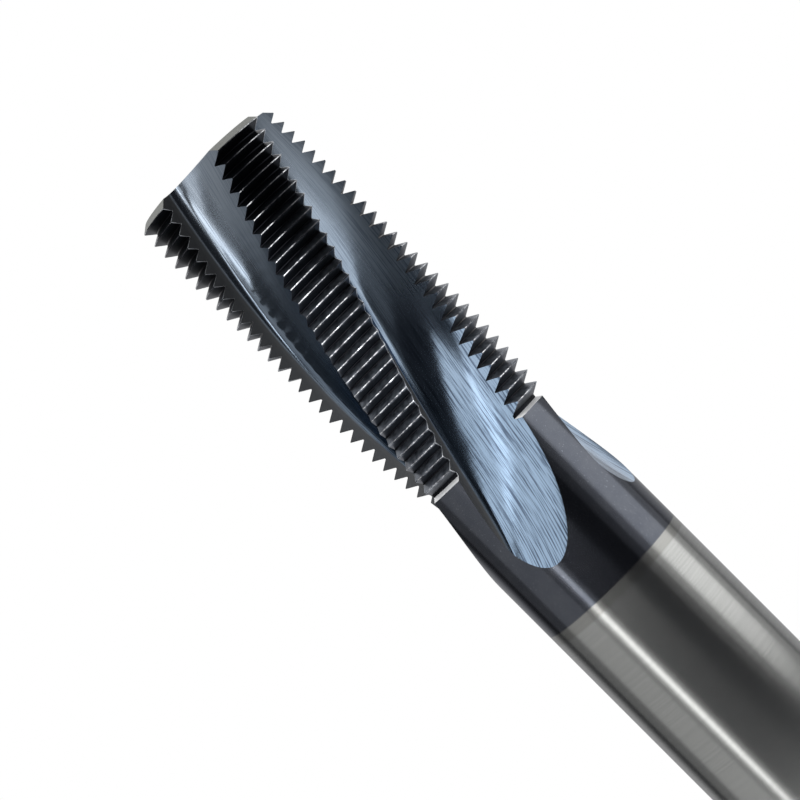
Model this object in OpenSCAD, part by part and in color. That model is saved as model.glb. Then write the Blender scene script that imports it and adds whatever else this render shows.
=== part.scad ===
// Solid carbide thread mill: annular V teeth, helical flutes and a plain round shank, ground from one rod.
// It stands on the end of its shank, with the cutting end up and the tool axis on Z.

/* [Shank] */
// Distance from the shank end to the cutting end
overall_l = 84; // [70:1:120]
// Diameter of the plain shank
shank_d = 12; // [10:0.5:16]
// Width of the bevel on the rim of the shank end
shank_bevel = 0.6; // [0.2:0.1:1.2]

/* [Teeth] */
// Diameter over the tooth crests
cutting_d = 12.6; // [12:0.1:16]
// Distance from one tooth ring to the next along the axis
pitch = 1; // [0.5:0.05:1.25]
// Number of tooth rings
ring_count = 27; // [8:1:30]
// Included angle of a tooth
tooth_angle = 60; // [55:1:60]
// Width of the flat on a tooth crest
crest_flat = 0.06; // [0.04:0.01:0.12]
// Width of the flat at the root between two teeth
root_flat = 0.08; // [0.04:0.01:0.12]
// Extra length of the groove between the last tooth and the shank
end_groove = 0.15; // [0.1:0.05:0.6]
// Radial depth of the lead bevel on the first tooth
lead_bevel = 0.6; // [0.2:0.05:0.6]

/* [Flutes] */
// Number of flutes
flute_count = 4; // [3:1:4]
// Helix angle of the cutting edges, for a right-hand cut
helix_angle = 18; // [5:1:30]
// Angle of the rake face ahead of the radius to the cutting edge
rake_angle = 4; // [0:1:10]
// Angle about the axis from a cutting edge to the heel of the land ahead of it
flute_span = 51; // [44:1:58]
// Widening of that angle towards the shank
flute_flare = 10; // [0:1:14]
// Diameter of the core between the flutes
core_d = 9; // [8:0.1:10]
// Radius of the fillet where the rake face meets the flute floor
floor_fillet = 1; // [0.5:0.05:1.3]
// Radius of the hollow back of a flute
back_hollow = 10; // [8:0.5:30]
// Distance from the cutting end to where the grinding wheel starts to leave the flute
flute_l = 26.2; // [16:0.1:32]
// Radius of the grinding wheel, which shapes the run-out of the flute
wheel_r = 21; // [15:1:60]

/* [Hidden] */
$fn = 96;

// A V between the crest flat and the root flat sets the depth of the teeth.
flank = tan(tooth_angle / 2);
tooth_depth = (pitch - crest_flat - root_flat) / 2 / flank;
crest_r = cutting_d / 2;
root_r = crest_r - tooth_depth;
shank_r = shank_d / 2;
core_r = core_d / 2;
shoulder_z = overall_l - ring_count * pitch - root_flat / 2 - end_groove;

// A flute is cut by its section at stations along the helix, from above the cutting end to past the run-out.
lead = PI * cutting_d / tan(helix_angle);
clear = 1;
straight_step = 1.5;
run_out_step = 0.6;
fillet_steps = 5;
back_steps = 8;
outside_r = 1.6 * max(crest_r, shank_r);
leave_angle = 0.6 * flute_span;
run_out_l = sqrt(2 * wheel_r * (max(crest_r, shank_r) - core_r + 2 * clear));
straight_count = ceil((clear + flute_l) / straight_step);
run_out_count = ceil(run_out_l / run_out_step);
stations = concat(
    [for (k = [0 : straight_count - 1]) k * (clear + flute_l) / straight_count - clear],
    [for (k = [0 : run_out_count]) flute_l + k * run_out_l / run_out_count]
);

function polar(r, a) = [r * cos(a), r * sin(a)];
function heading(v) = atan2(v.y, v.x);
function unwind(a) = a - 360 * round(a / 360);

// How far the wheel has left the flute at depth p below the cutting end.
function lift(p) = p > flute_l ? pow(p - flute_l, 2) / (2 * wheel_r) : 0;

function span(p) = flute_span + flute_flare * pow(max(p, 0) / flute_l, 3);

// The seam of the round blank meets the end of a flute, so that it leaves the side of the shank in one piece.
seam_angle = leave_angle - 360 * (flute_l + 0.64 * run_out_l) / lead + 360 / flute_count;

// Points on an arc about a centre, from one heading the short way to another.
function arc(centre, r, from, to, steps, first = 0) =
    [for (i = [first : steps]) centre + polar(r, from + unwind(to - from) * i / steps)];

// Section of a flute at depth p, with its cutting edge on +X: rake face, fillet, hollow back and heel.
function flute_section(p) =
    let (
        edge = [crest_r, 0],
        along = polar(1, rake_angle),
        side = floor_fillet - crest_r * sin(rake_angle),
        reach = core_r + floor_fillet,
        fillet = along * sqrt(reach * reach - side * side) + polar(side, rake_angle + 90),
        heel = polar(crest_r, span(p)),
        chord = heel - fillet,
        far = back_hollow - floor_fillet,
        turn = acos((chord * chord + far * far - back_hollow * back_hollow) / (2 * norm(chord) * far)),
        back = fillet + polar(far, heading(chord) - turn),
        floor_end = heading(fillet - back),
        heel_end = heading(heel - back),
        shift = polar(lift(p), leave_angle)
    )
    [for (q = concat(
        [edge + along * (outside_r - crest_r)],
        arc(fillet, floor_fillet, rake_angle - 90, floor_end, fillet_steps),
        arc(back, back_hollow, floor_end, heel_end, back_steps, 1),
        [heel + polar(outside_r - crest_r, heel_end - 90)]
    )) q + shift];

module flute() {
    sections = [for (p = stations)
        [for (q = flute_section(p)) concat(polar(norm(q), heading(q) - 360 * p / lead), overall_l - p)]];
    n = len(sections[0]);
    last = len(stations) - 1;
    sides = [for (k = [0 : last - 1], i = [0 : n - 1])
        let (a = k * n + i, b = k * n + (i + 1) % n)
        each [[a, b + n, b], [a, a + n, b + n]]];
    ends = [[for (i = [0 : n - 1]) i], [for (i = [n - 1 : -1 : 0]) last * n + i]];
    polyhedron([for (s = sections) each s], concat(sides, ends));
}

// Half outline of the blank, from the shank end up to the cutting end.
module blank_outline() {
    rings = [for (i = [ring_count - 1 : -1 : 0])
        let (mid = overall_l - (i + 0.5) * pitch)
        each [
            [root_r, mid - (pitch - root_flat) / 2],
            [crest_r, mid - crest_flat / 2],
            [crest_r, mid + crest_flat / 2],
            if (i > 0) [root_r, mid + (pitch - root_flat) / 2]
        ]];
    polygon(concat(
        [[0, 0], [shank_r - shank_bevel, 0], [shank_r, shank_bevel]],
        [[shank_r, shoulder_z - abs(shank_r - root_r) * flank], [root_r, shoulder_z]],
        rings,
        [[crest_r - lead_bevel, overall_l], [0, overall_l]]
    ));
}

module thread_mill() {
    color("dimgray") difference() {
        rotate(seam_angle) rotate_extrude() blank_outline();
        for (i = [0 : flute_count - 1]) rotate(i * 360 / flute_count) flute();
    }
}

thread_mill();
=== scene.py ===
# %% [markdown]
# A solid carbide thread mill. The tool is one piece of ground carbide: a plain round shank, a head with
# rows of ring-shaped teeth, and four flutes that wind up the head and run out into the neck. The solid
# model gives its exact size and place. This lesson makes a finer copy of it in Blender, with smooth flutes
# and the real finishes, and lights it like a catalogue picture.

# %% Load the frame
import math

import bmesh
import bpy
from mathutils import Matrix, Vector


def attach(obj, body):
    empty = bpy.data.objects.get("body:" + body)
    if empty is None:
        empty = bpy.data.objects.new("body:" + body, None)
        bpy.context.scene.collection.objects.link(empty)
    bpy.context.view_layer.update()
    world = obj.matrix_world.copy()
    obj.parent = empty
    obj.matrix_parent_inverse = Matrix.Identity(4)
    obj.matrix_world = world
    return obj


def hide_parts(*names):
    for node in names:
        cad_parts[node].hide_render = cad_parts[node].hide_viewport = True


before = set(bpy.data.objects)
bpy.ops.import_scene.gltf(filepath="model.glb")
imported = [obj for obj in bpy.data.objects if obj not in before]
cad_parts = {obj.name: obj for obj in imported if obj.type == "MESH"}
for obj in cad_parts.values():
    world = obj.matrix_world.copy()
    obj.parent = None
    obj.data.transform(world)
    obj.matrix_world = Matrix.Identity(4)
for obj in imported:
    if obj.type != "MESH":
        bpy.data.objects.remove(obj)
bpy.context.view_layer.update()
mm = 0.001
scene = bpy.context.scene
scene.view_settings.view_transform = "Standard"

# %% [markdown]
# The camera. The picture looks at the tool from the side, with the tip at the upper left, so the tool
# lies along the picture's diagonal. The tool itself stands upright on its shank here, because that is how
# it rests, and the camera is rolled by an eighth of a turn instead. A long lens from near by keeps the
# slight widening that the near side shows.

# %% Camera
view_azimuth = math.radians(-53.5)
view_distance = 185 * mm
view_height = 63.17 * mm
axis_offset = 1.745 * mm
lens_length = 120.7
sensor_width = 36
nearest_seen = 10 * mm
toward = Vector((math.cos(view_azimuth), math.sin(view_azimuth), 0))
side = Vector((-toward.y, toward.x, 0))
up = Vector((0, 0, 1))

camera_data = bpy.data.cameras.new("camera")
camera_data.sensor_width = sensor_width
camera_data.lens = lens_length
camera_data.clip_start = nearest_seen
camera = bpy.data.objects.new("camera", camera_data)
scene.collection.objects.link(camera)
eye = toward * view_distance - side * axis_offset + up * view_height
across = (side - up).normalized()
upward = (side + up).normalized()
camera.matrix_world = Matrix((
    (across.x, upward.x, toward.x, eye.x),
    (across.y, upward.y, toward.y, eye.y),
    (across.z, upward.z, toward.z, eye.z),
    (0, 0, 0, 1),
))
scene.camera = camera
print("camera at", [round(v / mm, 1) for v in eye], "mm")

# %% [markdown]
# The light. Polished metal shows what stands round it, so the panels are placed by their reflections. To
# the left of the camera a narrow strip draws the thin bright line along the shank, and a grey wall past it
# lights the lower side. To the right a soft box with dimmer edges draws the broad light band. In front,
# two boxes and a spark strip light the flutes where they run out and the tooth crests, and a box overhead
# lights the shoulder. One lamp with a picture of a studio would do as well, but single panels can be moved
# one by one. Each panel's power follows from its area, so its brightness in a reflection is the number here.

# %% Light panels
panels = [
    # name, turn from the camera, height angle, width, height, brightness
    ("strip", -45.5, -9, 0.052, 0.12, 2.6),
    ("strip_glow_left", -53, -9, 0.062, 0.12, 0.25),
    ("strip_glow_right", -38, -9, 0.062, 0.12, 0.22),
    ("front_box", -12, 6, 0.40, 0.12, 1.45),
    ("spark_strip", -22, 3.5, 0.020, 0.05, 6.0),
    ("upper_box", -32.5, 24, 0.40, 0.24, 1.30),
    ("low_strip", -65, 6.0, 0.34, 0.030, 2.8),
    ("low_strip_tail", -53, 2.1, 0.18, 0.030, 1.5),
    ("grey_wall", -80, -12, 0.34, 0.245, 0.40),
    ("grey_wall_far", -111, -11, 0.15, 0.26, 0.14),
    ("grey_wall_top", -92, 30, 0.40, 0.24, 0.45),
    ("soft_box", 87, -1.5, 0.30, 0.167, 1.30),
    ("soft_box_top", 92, 17, 0.42, 0.13, 0.70),
    ("soft_edge", 62.5, -7.7, 0.095, 0.07, 0.40),
    ("soft_edge_dim", 50.5, -7.7, 0.095, 0.07, 0.11),
    ("soft_edge_back", 113, -6, 0.12, 0.12, 0.40),
    ("soft_box_side", 57, 14.5, 0.22, 0.24, 0.12),
    ("rear_box", 137, 7, 0.20, 0.07, 0.60),
    ("top_box", -15, 66, 0.30, 0.20, 3.0),
]
panel_distance = 0.45
aim = Vector((0, 0, 55 * mm))


def light_panel(name, turn, height_angle, width, height, brightness):
    """An area lamp that faces the tool and is left out of the camera's own view."""
    azimuth = view_azimuth + math.radians(turn)
    rise = math.radians(height_angle)
    direction = Vector((
        math.cos(azimuth) * math.cos(rise),
        math.sin(azimuth) * math.cos(rise),
        math.sin(rise),
    ))
    lamp = bpy.data.lights.new(name, "AREA")
    lamp.shape = "RECTANGLE"
    lamp.size = width
    lamp.size_y = height
    lamp.energy = brightness * math.pi * width * height
    panel = bpy.data.objects.new(name, lamp)
    scene.collection.objects.link(panel)
    panel.location = aim + direction * panel_distance
    panel.rotation_euler = direction.to_track_quat("Z", "Y").to_euler()
    panel.visible_camera = False


for row in panels:
    light_panel(*row)
print(len(panels), "light panels")

# %% [markdown]
# Node helpers. The world, the floor and every finish are node trees. They could be wired by hand in the
# shader editor; in a script a few short functions keep each tree readable, one line for each thought.

# %% Node helpers
def add_node(tree, kind, **settings):
    made = tree.nodes.new(kind)
    for name, value in settings.items():
        setattr(made, name, value)
    return made


def put(tree, source, socket):
    """Link a socket, or set a plain number or colour."""
    if isinstance(source, bpy.types.NodeSocket):
        tree.links.new(source, socket)
    else:
        socket.default_value = source


def maths(tree, operation, *values):
    made = add_node(tree, "ShaderNodeMath", operation=operation)
    for value, socket in zip(values, made.inputs):
        put(tree, value, socket)
    return made.outputs[0]


def vector_maths(tree, operation, *vectors):
    made = add_node(tree, "ShaderNodeVectorMath", operation=operation)
    for vector, socket in zip(vectors, made.inputs):
        put(tree, vector, socket)
    gives_number = operation in ("DOT_PRODUCT", "LENGTH")
    return made.outputs["Value" if gives_number else "Vector"]


def spread(tree, value, from_min, from_max, to_min=0.0, to_max=1.0, smooth=False):
    """Stretch a range of values to another range and hold it at the ends."""
    made = add_node(tree, "ShaderNodeMapRange")
    if smooth:
        made.interpolation_type = "SMOOTHSTEP"
    for socket, given in zip(made.inputs, (value, from_min, from_max, to_min, to_max)):
        put(tree, given, socket)
    return made.outputs[0]


def blend(tree, factor, first, second):
    """Mix two colours, in a Mix node's colour sockets."""
    made = add_node(tree, "ShaderNodeMix", data_type="RGBA")
    for socket, given in zip((0, 6, 7), (factor, first, second)):
        put(tree, given, made.inputs[socket])
    return made.outputs[2]


def parts_of(tree, vector):
    made = add_node(tree, "ShaderNodeSeparateXYZ")
    put(tree, vector, made.inputs[0])
    return made.outputs


def vector_of(tree, *parts):
    made = add_node(tree, "ShaderNodeCombineXYZ")
    for part, socket in zip(parts, made.inputs):
        put(tree, part, socket)
    return made.outputs[0]


print("node helpers ready")

# %% [markdown]
# The world. The background is plain white to the camera. In a reflection the side behind the tool is pale,
# a little paler higher up, with a bright ceiling over it, and the side towards the camera is dark, as in a
# studio with a backdrop and a dark room in front. A picture of a studio could stand here, but a few ramps
# on the direction of the ray do the same with no file.

# %% World directions
world = bpy.data.worlds.new("studio")
scene.world = world
world.use_nodes = True
tree = world.node_tree
tree.nodes.clear()
backdrop_turn = math.radians(-5)
front = Matrix.Rotation(backdrop_turn, 3, "Z") @ toward
ray = add_node(tree, "ShaderNodeTexCoord").outputs["Generated"]
facing = vector_maths(tree, "DOT_PRODUCT", ray, front)
ray_rise = parts_of(tree, ray)[2]
on_backdrop = spread(tree, facing, -0.52, -0.80, smooth=True)
backdrop_rise = spread(tree, ray_rise, -0.1, 0.25)
overhead = spread(tree, ray_rise, 0.55, 0.75, smooth=True)
behind = spread(tree, facing, 0.1, -0.2, smooth=True)
on_ceiling = maths(tree, "MULTIPLY", overhead, behind)
print("world directions:", len(tree.nodes), "nodes")

# %% World colours
dark_room = (0.024, 0.025, 0.028, 1)
backdrop_low = (0.38, 0.38, 0.39, 1)
backdrop_high = (0.75, 0.75, 0.76, 1)
ceiling = (0.95, 0.95, 0.94, 1)
fill_glow = (0.60, 0.60, 0.61, 1)
white = (1, 1, 1, 1)

path = add_node(tree, "ShaderNodeLightPath")
mirror_ray = maths(tree, "MAXIMUM", path.outputs["Is Glossy Ray"], path.outputs["Is Transmission Ray"])
backdrop = blend(tree, backdrop_rise, backdrop_low, backdrop_high)
room = blend(tree, on_backdrop, dark_room, backdrop)
studio = blend(tree, on_ceiling, room, ceiling)
lit = blend(tree, mirror_ray, fill_glow, studio)
glow = add_node(tree, "ShaderNodeBackground")
put(tree, blend(tree, path.outputs["Is Camera Ray"], lit, white), glow.inputs["Color"])
output = add_node(tree, "ShaderNodeOutputWorld")
put(tree, glow.outputs["Background"], output.inputs["Surface"])
print("world:", len(tree.nodes), "nodes")

# %% [markdown]
# The floor. A small pale disc carries the shadow of the standing tool and fades to the white of the
# background at its rim, so it has no edge. A large plane would show a horizon in the side views. The disc
# is small enough to stay out of the main picture.

# %% Floor
floor_r = 0.10
floor_corners = 128
fade_start = 0.25 * floor_r
fade_end = 0.95 * floor_r
bpy.ops.object.select_all(action="DESELECT")
bpy.ops.mesh.primitive_circle_add(vertices=floor_corners, radius=floor_r, fill_type="NGON")
floor = bpy.context.object
floor.name = "floor"
paint = bpy.data.materials.new("pale_floor")
paint.use_nodes = True
tree = paint.node_tree
shader = tree.nodes["Principled BSDF"]
shader.inputs["Base Color"].default_value = (0.86, 0.86, 0.86, 1)
shader.inputs["Roughness"].default_value = 0.7
from_middle = vector_maths(tree, "LENGTH", add_node(tree, "ShaderNodeTexCoord").outputs["Object"])
rim = spread(tree, from_middle, fade_start, fade_end, smooth=True)
camera_ray = add_node(tree, "ShaderNodeLightPath").outputs["Is Camera Ray"]
mix = add_node(tree, "ShaderNodeMixShader")
put(tree, maths(tree, "MULTIPLY", rim, camera_ray), mix.inputs[0])
put(tree, shader.outputs[0], mix.inputs[1])
put(tree, add_node(tree, "ShaderNodeEmission").outputs[0], mix.inputs[2])
put(tree, mix.outputs[0], tree.nodes["Material Output"].inputs["Surface"])
floor.data.materials.append(paint)
print("floor disc", 2 * floor_r, "m across")

# %% [markdown]
# The sizes, in millimetres, as the tool grinder sets them. A thread mill's teeth are rings with no lead:
# the machine moves the tool along the thread, so each ring only has the profile of one turn. The depth of
# the teeth follows from their angle and the two small flats.

# %% Sizes
overall_l = 84
shank_r = 6
shank_bevel = 0.6
crest_r = 6.3
pitch = 1.0
ring_count = 27
tooth_angle = 60
crest_flat = 0.06
root_flat = 0.08
end_groove = 0.15
lead_bevel = 0.6

flank = math.tan(math.radians(tooth_angle / 2))
tooth_depth = (pitch - crest_flat - root_flat) / 2 / flank
root_r = crest_r - tooth_depth
shoulder_z = overall_l - ring_count * pitch - root_flat / 2 - end_groove
neck_z = shoulder_z - (shank_r - root_r) * flank
print("tooth depth", round(tooth_depth, 3), "mm, shoulder at", round(shoulder_z, 2), "mm")

# %% [markdown]
# The outline of the blank. On the machine the blank is turned and ground round before the flutes are cut,
# so here it starts as one outline, from the middle of the shank end, up the side and over every tooth, to
# the middle of the tip. It could be drawn as a curve, but a list of points that a loop works out keeps
# every ring exactly where its size says.

# %% Outline of the blank
outline = [(0, 0), (shank_r - shank_bevel, 0), (shank_r, shank_bevel)]
outline += [(shank_r, neck_z), (root_r, shoulder_z)]
foot = (pitch - root_flat) / 2
for ring in range(ring_count - 1, -1, -1):
    middle = overall_l - (ring + 0.5) * pitch
    outline.append((root_r, middle - foot))
    outline += [(crest_r, middle - crest_flat / 2), (crest_r, middle + crest_flat / 2)]
    if ring > 0:
        outline.append((root_r, middle + foot))
outline += [(crest_r - lead_bevel, overall_l), (0, overall_l)]
print(len(outline), "points from the shank end to the tip")

# %% [markdown]
# The blank itself. A plane is merged to a single vertex, which is extruded from point to point along the
# outline and then spun once about the axis, as a lathe would. A screw modifier does the same, but the spin
# needs no axis object. The seam of the spin is merged, and the normals are turned outwards.

# %% Spin the blank
spin_steps = 240
bpy.ops.object.select_all(action="DESELECT")
bpy.ops.mesh.primitive_plane_add(size=mm)
mill = bpy.context.object
mill.name = "carbide_thread_mill"
mill.data.name = "carbide_thread_mill"
bpy.ops.object.mode_set(mode="EDIT")
bpy.ops.mesh.merge(type="CENTER")
for (r0, z0), (r1, z1) in zip(outline, outline[1:]):
    step = ((r1 - r0) * mm, 0, (z1 - z0) * mm)
    bpy.ops.mesh.extrude_region_move(TRANSFORM_OT_translate={"value": step})
bpy.ops.mesh.select_all(action="SELECT")
bpy.ops.mesh.spin(steps=spin_steps, angle=2 * math.pi, center=(0, 0, 0), axis=(0, 0, 1))
bpy.ops.mesh.select_all(action="SELECT")
bpy.ops.mesh.remove_doubles(threshold=0.001 * mm)
bpy.ops.mesh.normals_make_consistent(inside=False)
bpy.ops.object.mode_set(mode="OBJECT")
print("blank:", len(mill.data.polygons), "faces")

# %% [markdown]
# The finishes by place. The head and the front of the shank carry a dark hard coating, the crests are
# worn bright, the flutes are ground, and the tip bevel and the shoulder show where the wheel has just
# broken the edge. Faces could be picked by hand in edit mode; here each face of the blank takes its finish
# from where it lies, before the flutes cut it up.

# %% Finish slots
finish_names = ["shank", "teeth", "crest", "edge", "end", "flute"]
surface_gap = 0.01
bevel_zone = 0.4
finishes = {}
for name in finish_names:
    finishes[name] = bpy.data.materials.new("carbide_" + name)
    finishes[name].use_nodes = True
    mill.data.materials.append(finishes[name])


def finish_at(place):
    """The finish of a face of the blank, from its middle in millimetres."""
    if place.z < neck_z:
        return "shank"
    if place.z > overall_l - surface_gap:
        return "end"
    if place.z < shoulder_z or place.z > overall_l - bevel_zone:
        return "edge"
    return "crest" if math.hypot(place.x, place.y) > crest_r - surface_gap else "teeth"


def count_finishes():
    used = [face.material_index for face in mill.data.polygons]
    return {name: used.count(i) for i, name in enumerate(finish_names)}


for face in mill.data.polygons:
    face.material_index = finish_names.index(finish_at(face.center / mm))
print(count_finishes())

# %% [markdown]
# The flutes' section. A grinding wheel cuts each flute: a straight rake face up to the cutting edge, a
# round bottom and a hollow back, which meet without a step. The arcs are worked out from the radii, so
# that they touch, and the section widens towards the shank. Near the shank the wheel lifts away on its own
# radius, which leaves the curved scallop.

# %% Flute sizes
flute_count = 4
helix_angle = 18
rake_angle = math.radians(4)
flute_span = 51
flute_flare = 10
core_r = 4.5
floor_fillet = 1.0
back_hollow = 10.0
flute_l = 26.2
wheel_r = 21
clear = 1
outside_r = 1.6 * crest_r
fillet_steps = 10
back_steps = 22
flute_step = 2 * math.pi / flute_count
lead = math.pi * 2 * crest_r / math.tan(math.radians(helix_angle))
leave_angle = math.radians(0.6 * flute_span)
print("lead", round(lead, 1), "mm")


# %% Flute section
def polar(radius, angle):
    return Vector((radius * math.cos(angle), radius * math.sin(angle)))


def heading(v):
    return math.atan2(v.y, v.x)


def arc(centre, radius, start, end, steps, first=0):
    sweep = (end - start + math.pi) % (2 * math.pi) - math.pi
    return [centre + polar(radius, start + sweep * i / steps) for i in range(first, steps + 1)]


def flute_section(depth):
    """The wheel's section at a depth below the tip, with its cutting edge on +X."""
    span = math.radians(flute_span + flute_flare * (max(depth, 0) / flute_l) ** 3)
    along = polar(1, rake_angle)
    offset = floor_fillet - crest_r * math.sin(rake_angle)
    reach = core_r + floor_fillet
    fillet = along * math.sqrt(reach * reach - offset * offset) + polar(offset, rake_angle + math.pi / 2)
    heel = polar(crest_r, span)
    chord = heel - fillet
    far = back_hollow - floor_fillet
    turn = math.acos((chord.length_squared + far * far - back_hollow ** 2) / (2 * chord.length * far))
    back = fillet + polar(far, heading(chord) - turn)
    floor_end = heading(fillet - back)
    heel_end = heading(heel - back)
    lift = max(depth - flute_l, 0) ** 2 / (2 * wheel_r)
    shift = polar(lift, leave_angle)
    points = [Vector((crest_r, 0)) + along * (outside_r - crest_r)]
    points += arc(fillet, floor_fillet, rake_angle - math.pi / 2, floor_end, fillet_steps)
    points += arc(back, back_hollow, floor_end, heel_end, back_steps, 1)
    points.append(heel + polar(outside_r - crest_r, heel_end - math.pi / 2))
    return [point + shift for point in points]


section_size = len(flute_section(0))
print("section of", section_size, "points")

# %% [markdown]
# The flute cutter. The wheel's path is a closed tube with the section at every station along the helix.
# A curve with a bevel object could follow the helix, but its section can't change on the way. So a
# cylinder with a corner for each point of the section is subdivided along its length, and each ring of
# corners is moved to its own section, turned by the helix.

# %% Stations along the helix
straight_count = 90
run_out_count = 64
run_out_l = math.sqrt(2 * wheel_r * (crest_r - core_r + 2 * clear))
stations = [k * (clear + flute_l) / straight_count - clear for k in range(straight_count)]
stations += [flute_l + k * run_out_l / run_out_count for k in range(run_out_count + 1)]
sections = [flute_section(depth) for depth in stations]
print(len(stations), "stations over", round(stations[-1] - stations[0], 1), "mm")

# %% Shape the cutter
last = len(stations) - 1
bpy.ops.object.select_all(action="DESELECT")
bpy.ops.mesh.primitive_cylinder_add(vertices=section_size, radius=1, depth=last)
wheel = bpy.context.object
wheel.name = "flute_wheel"
bpy.ops.object.mode_set(mode="EDIT")
bpy.ops.mesh.select_all(action="DESELECT")
mesh = bmesh.from_edit_mesh(wheel.data)
for edge in mesh.edges:
    edge.select_set(abs(edge.verts[0].co.z - edge.verts[1].co.z) > 1)
bmesh.update_edit_mesh(wheel.data)
bpy.ops.mesh.subdivide(number_cuts=last - 1)
mesh = bmesh.from_edit_mesh(wheel.data)
for vertex in mesh.verts:
    corner = round(math.atan2(vertex.co.x, vertex.co.y) / (2 * math.pi) * section_size) % section_size
    station = round(last / 2 - vertex.co.z)
    point = sections[station][corner]
    turned = polar(point.length, heading(point) - 2 * math.pi * stations[station] / lead)
    vertex.co = Vector((turned.x, turned.y, overall_l - stations[station])) * mm
bpy.ops.mesh.select_all(action="SELECT")
bpy.ops.mesh.normals_make_consistent(inside=False)
bpy.ops.object.mode_set(mode="OBJECT")
print("cutter:", len(wheel.data.polygons), "faces")

# %% [markdown]
# Cutting the flutes. The cutter is taken from the blank by a Boolean modifier, once for each flute, and
# turned a quarter between the cuts, as the machine indexes the tool. The cutter carries the same list of
# finishes, so each new face comes out with the flute's finish. One cut with four cutters would also do,
# but single cuts keep every solid simple.

# %% Cut the flutes
for name in finish_names:
    wheel.data.materials.append(finishes[name])
for face in wheel.data.polygons:
    face.material_index = finish_names.index("flute")
for turn in range(flute_count):
    wheel.rotation_euler.z = flute_step * turn
    bpy.context.view_layer.update()
    bpy.ops.object.select_all(action="DESELECT")
    bpy.context.view_layer.objects.active = mill
    mill.select_set(True)
    cut = mill.modifiers.new("flute", "BOOLEAN")
    cut.operation = "DIFFERENCE"
    cut.solver = "MANIFOLD"
    cut.object = wheel
    bpy.ops.object.modifier_apply(modifier=cut.name)
bpy.data.objects.remove(wheel)
triangles = sum(len(face.vertices) - 2 for face in mill.data.polygons)
print("cut:", len(mill.data.polygons), "faces,", triangles, "triangles")

# %% [markdown]
# Shading. Ground edges stay crisp and ground surfaces stay smooth, so faces that meet at a small angle
# are smoothed together and every real edge of the tool is left sharp. Slivers that the cuts left are
# merged first, because they would show as dark specks.

# %% Smooth the ground faces
sharp_angle = math.radians(20)
bpy.ops.object.mode_set(mode="EDIT")
bpy.ops.mesh.select_all(action="SELECT")
bpy.ops.mesh.remove_doubles(threshold=0.0005 * mm)
bpy.ops.mesh.dissolve_degenerate(threshold=0.0002 * mm)
bpy.ops.object.mode_set(mode="OBJECT")
bpy.ops.object.shade_smooth_by_angle(angle=sharp_angle)
print(count_finishes())

# %% [markdown]
# Finish helpers. Every finish reads the place on the tool from Object coordinates, in metres, so a noise
# that is stretched by thousands has grains of a tenth of a millimetre. Wear and grinding marks follow the
# cutting edges, so one helper takes the helix's twist out of a place and another tells its angle.

# %% Finish helpers
def noise(tree, place, stretch, detail=2.0, roughness=0.5):
    """A cloudy pattern with so many grains a metre, the same or different along each axis."""
    made = add_node(tree, "ShaderNodeTexNoise")
    even = isinstance(stretch, (int, float))
    put(tree, place if even else vector_maths(tree, "MULTIPLY", place, stretch), made.inputs["Vector"])
    made.inputs["Scale"].default_value = stretch if even else 1.0
    made.inputs["Detail"].default_value = detail
    made.inputs["Roughness"].default_value = roughness
    return made.outputs[0]


def bump(tree, height, depth, strength):
    made = add_node(tree, "ShaderNodeBump")
    put(tree, height, made.inputs["Height"])
    made.inputs["Distance"].default_value = depth
    made.inputs["Strength"].default_value = strength
    return made


def turn_about_axis(tree, place, angle):
    made = add_node(tree, "ShaderNodeVectorRotate", rotation_type="Z_AXIS")
    put(tree, place, made.inputs["Vector"])
    put(tree, angle, made.inputs["Angle"])
    return made.outputs[0]


def angle_about_axis(tree, place):
    parts = parts_of(tree, place)
    return maths(tree, "ARCTAN2", parts[1], parts[0])


def unwind_helix(tree, place, height):
    """The place with the helix's twist taken out."""
    twist = -2 * math.pi / (lead * mm)
    return turn_about_axis(tree, place, maths(tree, "MULTIPLY_ADD", height, twist, -twist * overall_l * mm))


def start_finish(name):
    """A finish's nodes, its metal shader and the place on the tool."""
    tree = finishes[name].node_tree
    shader = tree.nodes["Principled BSDF"]
    shader.inputs["Metallic"].default_value = 1
    place = add_node(tree, "ShaderNodeTexCoord").outputs["Object"]
    return tree, shader, place


print("finish helpers ready")

# %% [markdown]
# The shank. Its front has the dark coating and the rest is bare ground carbide. The coating ends in a
# plain line round the tool, with a narrow rubbed band just past it. Fine rings from the grinding wheel go
# round the bare part, and the coating is a little mottled, with a dust of tiny droplets. A painted picture
# could hold all this, but noise that is stretched round the axis has no seam.

# %% Shank colours
coat_colour = (0.135, 0.145, 0.168, 1)
mottled_colour = (0.115, 0.125, 0.15, 1)
droplet_colour = (0.24, 0.255, 0.29, 1)
bare_colour = (0.52, 0.525, 0.51, 1)
band_colour = (0.42, 0.42, 0.40, 1)
ring_colour = (0.30, 0.31, 0.30, 1)
coat_line = 44.3
band_width = 0.8
line_blur = 0.05
tree, shader, place = start_finish("shank")
height = parts_of(tree, place)[2]
rings = noise(tree, place, (60, 60, 9000), 3.0)
droplets = noise(tree, place, 9000, 1.0)
mottle = noise(tree, place, 900, 3.0)
band_line = coat_line - band_width
coated = spread(tree, height, (coat_line - line_blur) * mm, (coat_line + line_blur) * mm)
banded = spread(tree, height, (band_line - line_blur) * mm, (band_line + line_blur) * mm)
print("coating down to", coat_line, "mm above the shank end")

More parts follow.
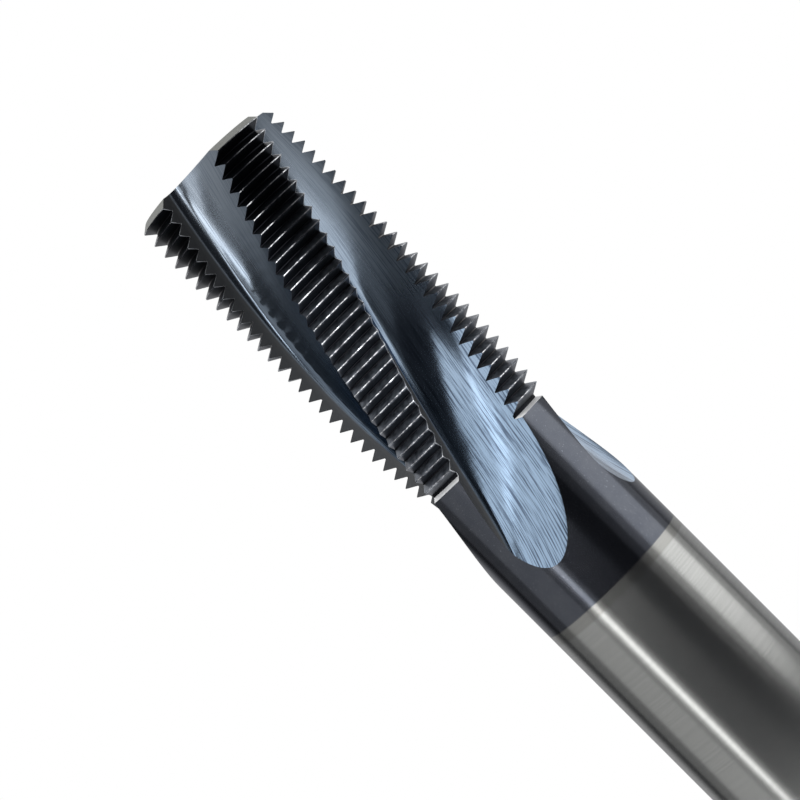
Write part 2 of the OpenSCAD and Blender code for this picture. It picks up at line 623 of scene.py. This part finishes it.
# %% Shank finish
bare_roughness = 0.19
coat_roughness = 0.16
ring_depth = 0.002 * mm
bare = blend(tree, banded, bare_colour, band_colour)
bare = blend(tree, spread(tree, rings, 0.35, 0.65, 0.0, 0.18), bare, ring_colour)
coat = blend(tree, spread(tree, mottle, 0.3, 0.7), coat_colour, mottled_colour)
coat = blend(tree, spread(tree, droplets, 0.68, 0.76), coat, droplet_colour)
put(tree, blend(tree, coated, bare, coat), shader.inputs["Base Color"])
put(tree, spread(tree, coated, 0, 1, bare_roughness, coat_roughness), shader.inputs["Roughness"])
put(tree, bump(tree, rings, ring_depth, 0.25).outputs[0], shader.inputs["Normal"])
print("shank finish:", len(tree.nodes), "nodes")

# %% [markdown]
# Wear and painted light on the teeth. The flanks have the dark coating. Near the crests it is rubbed in
# patches, which also paints the crests' highlight wider, and the flanks that face the tip are painted
# lighter, a painted highlight of the light from above; both grow towards the shank. A thin painted highlight
# lies along each cutting edge, where its honed rounding would catch the light. Pointiness would find the
# edges too, but it depends on the mesh. The height, the radius and the angle from the cutting edge are
# exact.

# %% Wear and painted highlights on the teeth
rub_and_sheen_depth = 0.22
rub_and_sheen_full = 0.02
rub_and_sheen_start_z = 80
rub_and_sheen_full_z = 66
edge_glint_start = math.radians(1.0)
edge_glint_full = math.radians(0.5)
tree, shader, place = start_finish("teeth")
height = parts_of(tree, place)[2]
radius = vector_maths(tree, "LENGTH", vector_maths(tree, "MULTIPLY", place, (1, 1, 0)))
normal = add_node(tree, "ShaderNodeNewGeometry").outputs["Normal"]
near_crest = spread(tree, radius, (crest_r - rub_and_sheen_depth) * mm, (crest_r - rub_and_sheen_full) * mm)
low_down = spread(tree, height, rub_and_sheen_start_z * mm, rub_and_sheen_full_z * mm)
patches = spread(tree, noise(tree, place, 2500, 3.0), 0.35, 0.65)
# Painted highlight and wear: rubbed coating near the crests, which also paints the crests' highlight wider.
crest_rub_and_sheen = maths(tree, "MULTIPLY", maths(tree, "MULTIPLY", near_crest, low_down), patches)
# Painted highlight: flanks that face the tip are painted lighter, as if lit from above.
facing_tip = spread(tree, parts_of(tree, normal)[2], 0.2, 0.6)
tip_flank_lit = maths(tree, "MULTIPLY", facing_tip, low_down)
tip_flank_sheen = maths(tree, "MULTIPLY", tip_flank_lit, spread(tree, patches, 0, 1, 0.12, 0.50))
rub_and_sheen = maths(tree, "MAXIMUM", crest_rub_and_sheen, tip_flank_sheen)
edge_angle = angle_about_axis(tree, unwind_helix(tree, place, height))
land_angle = maths(tree, "WRAP", edge_angle, flute_step, 0.0)
# Painted highlight: a thin bright line along each cutting edge, standing for the glint of its honed
# rounding.
honed_edge_glint = spread(tree, land_angle, flute_step - edge_glint_start, flute_step - edge_glint_full)
print("wear on the teeth:", len(tree.nodes), "nodes")

# %% [markdown]
# The teeth's finish. The coating is painted blackest near the tip and in the roots, a painted shade. Where
# it is rubbed or painted lit the metal is paler and duller, and the painted highlight along the cutting edge
# is palest. These places are made a little less metallic, because fine scratches scatter the light.

# %% Teeth finish
# Tip and root colours: painted shade. Rubbed colour: wear and painted highlight. Honed colour: painted
# highlight.
low_coat = (0.10, 0.11, 0.13, 1)
tip_shade_coat = (0.03, 0.034, 0.042, 1)
root_shade_colour = (0.012, 0.013, 0.016, 1)
rub_and_sheen_colour = (0.44, 0.48, 0.54, 1)
edge_glint_colour = (0.62, 0.65, 0.69, 1)
low_coat_z = 70
tip_shade_z = 79
black_above_root = 0.10
black_full = 0.01
# Painted shade: the coating is painted darker towards the tip.
coat = blend(tree, spread(tree, height, low_coat_z * mm, tip_shade_z * mm), low_coat, tip_shade_coat)
# Painted shade: the roots of the teeth are painted near black, as shade in the recess.
root_shade = spread(tree, radius, (root_r + black_above_root) * mm, (root_r + black_full) * mm)
coat = blend(tree, root_shade, coat, root_shade_colour)
# Wear and painted highlight: rubbed places and tip-facing flanks are painted paler.
worn_and_lit_coat = blend(tree, rub_and_sheen, coat, rub_and_sheen_colour)
# The pale colour along the cutting edges is a painted highlight.
put(tree, blend(tree, honed_edge_glint, worn_and_lit_coat, edge_glint_colour), shader.inputs["Base Color"])
rub_and_sheen_scatter = spread(tree, rub_and_sheen, 0, 1, 0.0, 0.25)
edge_glint_scatter = spread(tree, honed_edge_glint, 0, 1, 0.0, 0.6)
scatter = maths(tree, "MAXIMUM", rub_and_sheen_scatter, edge_glint_scatter)
put(tree, spread(tree, scatter, 0, 1, 1.0, 0.0), shader.inputs["Metallic"])
put(tree, spread(tree, rub_and_sheen, 0, 1, 0.32, 0.60), shader.inputs["Roughness"])
print("teeth finish:", len(tree.nodes), "nodes")

# %% [markdown]
# The crests. The narrow flat on each ring is the first place to wear, so it is bright metal with dark
# specks of coating left in it. A plain light colour would draw a ruled line; the specks break it up.

# %% Crest finish
crest_dark = (0.20, 0.21, 0.23, 1)
crest_bright = (0.85, 0.86, 0.88, 1)
tree, shader, place = start_finish("crest")
specks = spread(tree, noise(tree, place, 5000, 2.0), 0.4, 0.62)
put(tree, blend(tree, specks, crest_dark, crest_bright), shader.inputs["Base Color"])
shader.inputs["Roughness"].default_value = 0.14
print("crest finish:", len(tree.nodes), "nodes")

# %% [markdown]
# The broken edges. The small cone at the shoulder is fresh from the wheel and painted nearly white, a
# painted highlight of the light from above. The bevel on the tip is the same cut, but it is given a dark
# grey. Both scatter light more than they mirror it, so they are hardly metallic here. One finish serves both
# and changes along the height.

# %% Edge finish
# The shoulder's near-white is a painted highlight; the tip's grey is a plain colour.
shoulder_highlight_low = (0.86, 0.87, 0.87, 1)
shoulder_highlight_high = (0.96, 0.96, 0.96, 1)
tip_grey_low = (0.12, 0.125, 0.115, 1)
tip_grey_high = (0.22, 0.225, 0.21, 1)
shoulder_highlight_z = 60
tip_grey_z = 80
tree, shader, place = start_finish("edge")
height = parts_of(tree, place)[2]
lines = noise(tree, place, (9000, 9000, 2000), 2.0)
# Painted highlight: the shoulder's cone is painted nearly white.
shoulder_highlight = blend(tree, lines, shoulder_highlight_low, shoulder_highlight_high)
tip_grey = blend(tree, lines, tip_grey_low, tip_grey_high)
at_tip = spread(tree, height, shoulder_highlight_z * mm, tip_grey_z * mm)
put(tree, blend(tree, at_tip, shoulder_highlight, tip_grey), shader.inputs["Base Color"])
shader.inputs["Metallic"].default_value = 0.1
shader.inputs["Roughness"].default_value = 0.45
print("edge finish:", len(tree.nodes), "nodes")

# %% [markdown]
# The end face. The tip is ground flat by straight passes of a wheel and then coated, so it is dark with
# fine lines all one way. The lines are noise that is stretched along X, and they also drive the bump and
# the roughness, so that the face catches light in streaks.

# %% End finish
end_dark = (0.15, 0.16, 0.18, 1)
end_light = (0.24, 0.25, 0.27, 1)
pass_colour = (0.08, 0.09, 0.11, 1)
pass_depth = 0.004 * mm
tree, shader, place = start_finish("end")
passes = noise(tree, place, (300, 7000, 300), 3.0, 0.6)
clouds = noise(tree, place, 500, 3.0)
coat = blend(tree, clouds, end_dark, end_light)
in_pass = spread(tree, passes, 0.4, 0.65, 0.0, 0.6)
put(tree, blend(tree, in_pass, coat, pass_colour), shader.inputs["Base Color"])
put(tree, spread(tree, passes, 0.3, 0.7, 0.26, 0.42), shader.inputs["Roughness"])
put(tree, bump(tree, passes, pass_depth, 0.4).outputs[0], shader.inputs["Normal"])
print("end finish:", len(tree.nodes), "nodes")

# %% [markdown]
# The place in a flute. The wheel leaves fine streaks that run along the flute and spread over the run-out.
# A UV map could carry them, but the cuts have made the mesh irregular. So the nodes bring every place back
# to one straight flute: the helix is taken out, the place is turned to the first flute, and the wheel's
# lift is taken off. What is left is the share of the way across the flute and the depth below the tip.

# %% Turn to the first flute
edge_margin = math.radians(15)
tree, shader, place = start_finish("flute")
height = parts_of(tree, place)[2]
below_tip = maths(tree, "SUBTRACT", overall_l * mm, height)
straightened = unwind_helix(tree, place, height)
flute_angle = angle_about_axis(tree, straightened)
past_edge = maths(tree, "DIVIDE", maths(tree, "ADD", flute_angle, edge_margin), flute_step)
flute_number = maths(tree, "FLOOR", past_edge)
turn_back = maths(tree, "MULTIPLY", flute_number, -flute_step)
first_flute = turn_about_axis(tree, straightened, turn_back)
print("turned to the first flute:", len(tree.nodes), "nodes")

# %% Take off the wheel's lift
flute_apart = 0.01
past_leaving = maths(tree, "MAXIMUM", maths(tree, "SUBTRACT", below_tip, flute_l * mm), 0.0)
lift = maths(tree, "DIVIDE", maths(tree, "MULTIPLY", past_leaving, past_leaving), 2 * wheel_r * mm)
lift_x = maths(tree, "MULTIPLY", lift, math.cos(leave_angle))
lift_y = maths(tree, "MULTIPLY", lift, math.sin(leave_angle))
settled = vector_maths(tree, "SUBTRACT", first_flute, vector_of(tree, lift_x, lift_y))
widening = maths(tree, "POWER", maths(tree, "DIVIDE", below_tip, flute_l * mm), 3.0)
span_here = maths(tree, "MULTIPLY_ADD", widening, math.radians(flute_flare), math.radians(flute_span))
share = maths(tree, "DIVIDE", angle_about_axis(tree, settled), span_here)
across_flute = maths(tree, "MULTIPLY", share, crest_r * mm)
flute_row = maths(tree, "MULTIPLY", flute_number, flute_apart)
combed = vector_of(tree, across_flute, flute_row, below_tip)
print("place in the flute:", len(tree.nodes), "nodes")

# %% [markdown]
# The flutes' colour. The ground metal is a steel blue that is bluest at the run-out, with soft clouds. Dark
# streaks lie over it, strong in the run-out and faint near the tip, where the flute is polished. A plain
# noise would look like stone; stretched along the flute it looks like the marks of a wheel.

# %% Flute colour
tip_dark = (0.25, 0.29, 0.34, 1)
tip_light = (0.34, 0.39, 0.45, 1)
run_out_dark = (0.20, 0.275, 0.37, 1)
run_out_light = (0.285, 0.385, 0.51, 1)
streak_colour = (0.06, 0.085, 0.13, 1)
blue_start_z = 82
blue_full_z = 58
polish_start_z = 64
polish_full_z = 76
streaks = noise(tree, combed, (11000, 11000, 240), 3.0, 0.6)
clouds = noise(tree, combed, (700, 700, 60), 2.0)
bluing = spread(tree, height, blue_start_z * mm, blue_full_z * mm)
polish = spread(tree, height, polish_start_z * mm, polish_full_z * mm)
darker = blend(tree, bluing, tip_dark, run_out_dark)
lighter = blend(tree, bluing, tip_light, run_out_light)
steel = blend(tree, clouds, darker, lighter)
calm = spread(tree, polish, 0, 1, 1.0, 0.35)
streaked = maths(tree, "MULTIPLY", spread(tree, streaks, 0.49, 0.58, 0.0, 0.92), calm)
ground_colour = blend(tree, streaked, steel, streak_colour)
print("flute colour:", len(tree.nodes), "nodes")

# %% [markdown]
# The rake faces. The flat face behind each cutting edge is matt and plain dark grey, darker towards the tip.
# It could have a finish slot of its own, but the cutter's faces run on from it into the flute without a
# step. So it is told by its share of the way across, which is about nought or less there. Above the run-out
# the shader's edge tint is dark, a painted shade of the flutes' own shadow at a glancing angle.

# %% Rake faces
rake_low = (0.074, 0.076, 0.078, 1)
rake_tip = (0.038, 0.039, 0.040, 1)
# The glancing tint is a painted shade.
glancing_shade = (0.30, 0.33, 0.38, 1)
rake_low_z = 66
rake_tip_z = 77
rake_share = 0.02
rake_metal = 0.2
glancing_start_z = 57
glancing_full_z = 61
on_rake = spread(tree, share, rake_share, 0.0)
near_tip = spread(tree, height, rake_low_z * mm, rake_tip_z * mm)
rake_coat = blend(tree, near_tip, rake_low, rake_tip)
put(tree, blend(tree, on_rake, ground_colour, rake_coat), shader.inputs["Base Color"])
put(tree, spread(tree, on_rake, 0, 1, 1.0, rake_metal), shader.inputs["Metallic"])
above_run_out = spread(tree, height, glancing_start_z * mm, glancing_full_z * mm)
# Painted shade: a dark edge tint above the run-out stands for the flutes' own shadow at a glancing angle.
put(tree, blend(tree, above_run_out, white, glancing_shade), shader.inputs["Specular Tint"])
print("rake faces:", len(tree.nodes), "nodes")

# %% [markdown]
# The flutes' gloss. The streaks make the metal rougher from line to line, the back of the flute near the
# tip is duller than its floor, and the rake face is dullest. Just before the run-out the wheel's path bends,
# which tilts the surface a little towards the tip; the mesh has the form, and a small lean of the normal
# gives the soft change of light that the ground bend shows.

# %% Flute gloss
back_start = math.radians(12)
back_full = math.radians(36)
back_dullness = 0.20
back_low_z = 65
back_high_z = 70
rake_dullness = 0.35
in_flute = maths(tree, "ADD", flute_angle, turn_back)
back_side = spread(tree, in_flute, back_start, back_full, 0.0, back_dullness)
back_dull = maths(tree, "MULTIPLY", back_side, spread(tree, height, back_low_z * mm, back_high_z * mm))
rake_dull = spread(tree, on_rake, 0, 1, 0.0, rake_dullness)
line_gloss = spread(tree, streaks, 0.3, 0.7, 0.11, 0.19)
gloss = maths(tree, "MULTIPLY", line_gloss, spread(tree, polish, 0, 1, 1.0, 0.85))
duller = maths(tree, "ADD", gloss, back_dull)
put(tree, maths(tree, "ADD", duller, rake_dull), shader.inputs["Roughness"])
print("flute gloss:", len(tree.nodes), "nodes")

# %% Flute surface
bend_start_z = 62
bend_middle_z = 57.8
bend_end_z = 54.5
bend_lean = 0.05
streak_depth = 0.004 * mm
before_bend = spread(tree, height, bend_start_z * mm, bend_middle_z * mm, smooth=True)
after_bend = spread(tree, height, bend_end_z * mm, bend_middle_z * mm, smooth=True)
lean = maths(tree, "MULTIPLY", maths(tree, "MULTIPLY", before_bend, after_bend), bend_lean)
normal = add_node(tree, "ShaderNodeNewGeometry").outputs["Normal"]
ground = bump(tree, maths(tree, "MULTIPLY", streaks, calm), streak_depth, 0.3)
put(tree, vector_maths(tree, "ADD", normal, vector_of(tree, 0, 0, lean)), ground.inputs["Normal"])
put(tree, ground.outputs[0], shader.inputs["Normal"])
print("flute finish:", len(tree.nodes), "nodes")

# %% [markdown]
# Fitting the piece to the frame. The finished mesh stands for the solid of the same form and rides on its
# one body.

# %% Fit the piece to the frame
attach(mill, "root")
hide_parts("thread_mill")
